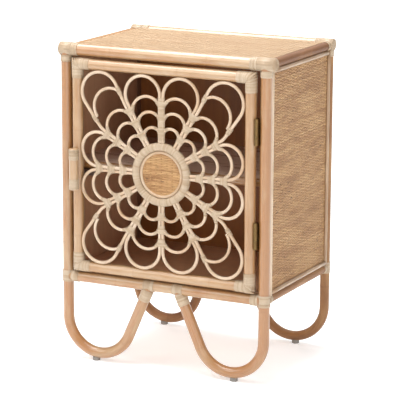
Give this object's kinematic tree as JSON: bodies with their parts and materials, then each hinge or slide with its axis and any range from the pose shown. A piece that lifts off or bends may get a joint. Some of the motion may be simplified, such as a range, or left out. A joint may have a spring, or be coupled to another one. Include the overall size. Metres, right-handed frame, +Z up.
{
  "type": "rattan bedside cabinet",
  "caption": "Rattan bedside cabinet with bent pole legs, woven side panels and one hinged door with a flower-shaped cane grille.",
  "frame": {"origin": "on the floor, under the middle of the cabinet's outline", "axes": "+Z up, +X to the right seen from the door's side, the door faces -Y"},
  "size_m": [0.4598, 0.3358, 0.6289],
  "materials": {
    "rattan_pole": "clear satin lacquer",
    "cane": "clear satin lacquer",
    "binding_peel": "lacquered rattan peel",
    "woven_mat": "clear satin lacquer",
    "board_wood": "brown stain",
    "hinge_brass": "polished",
    "nail_steel": "zinc plated",
    "glide_plastic": "moulded",
    "catch_plastic": "moulded"
  },
  "bodies": {
    "cabinet": {"front_left_leg_post": "rattan_pole", "front_right_leg_post": "rattan_pole", "rear_left_leg_post": "rattan_pole", "rear_right_leg_post": "rattan_pole", "front_top_rail": "rattan_pole", "rear_top_rail": "rattan_pole", "left_top_rail": "rattan_pole", "right_top_rail": "rattan_pole", "front_bottom_rail": "rattan_pole", "rear_bottom_rail": "rattan_pole", "left_bottom_rail": "rattan_pole", "right_bottom_rail": "rattan_pole", "cabinet_nails": "nail_steel", "foot_glides": "glide_plastic", "left_side_board": "board_wood", "right_side_board": "board_wood", "side_mats": "woven_mat", "side_strips": "rattan_pole", "back_board": "board_wood", "back_mat": "woven_mat", "back_strips": "rattan_pole", "top_board": "board_wood", "top_mat": "woven_mat", "floor_board": "board_wood", "shelf_board": "board_wood", "shelf_front_rail": "rattan_pole", "shelf_cleats": "board_wood", "top_corner_bindings": "binding_peel", "bottom_corner_bindings": "binding_peel", "arm_bindings": "binding_peel", "rail_end_caps": "binding_peel", "hinge_cabinet_leaves": "hinge_brass", "hinge_pins": "hinge_brass", "hinge_cabinet_screws": "hinge_brass", "magnetic_catch": "catch_plastic"},
    "door": {"hinge_stile": "rattan_pole", "latch_stile": "rattan_pole", "door_top_rail": "rattan_pole", "door_bottom_rail": "rattan_pole", "door_nails": "nail_steel", "door_corner_bindings": "binding_peel", "side_petals": "cane", "corner_petals": "cane", "corner_arches": "cane", "inner_arches": "cane", "corner_arch_bindings": "binding_peel", "spoke_bindings": "binding_peel", "centre_ring": "rattan_pole", "centre_ring_wrap": "binding_peel", "disc_rim": "cane", "disc_board": "board_wood", "disc_mat": "woven_mat", "handle_bar": "rattan_pole", "handle_bindings": "binding_peel", "hinge_door_leaves": "hinge_brass", "hinge_door_screws": "hinge_brass", "strike_plate": "nail_steel"}
  },
  "joints": [
    {"name": "door_hinge", "type": "hinge", "parent": "cabinet", "child": "door", "pos_m": [0.19378, -0.14477, 0.3905], "axis": [0, 0, 1], "range_deg": [0, 150]}
  ]
}
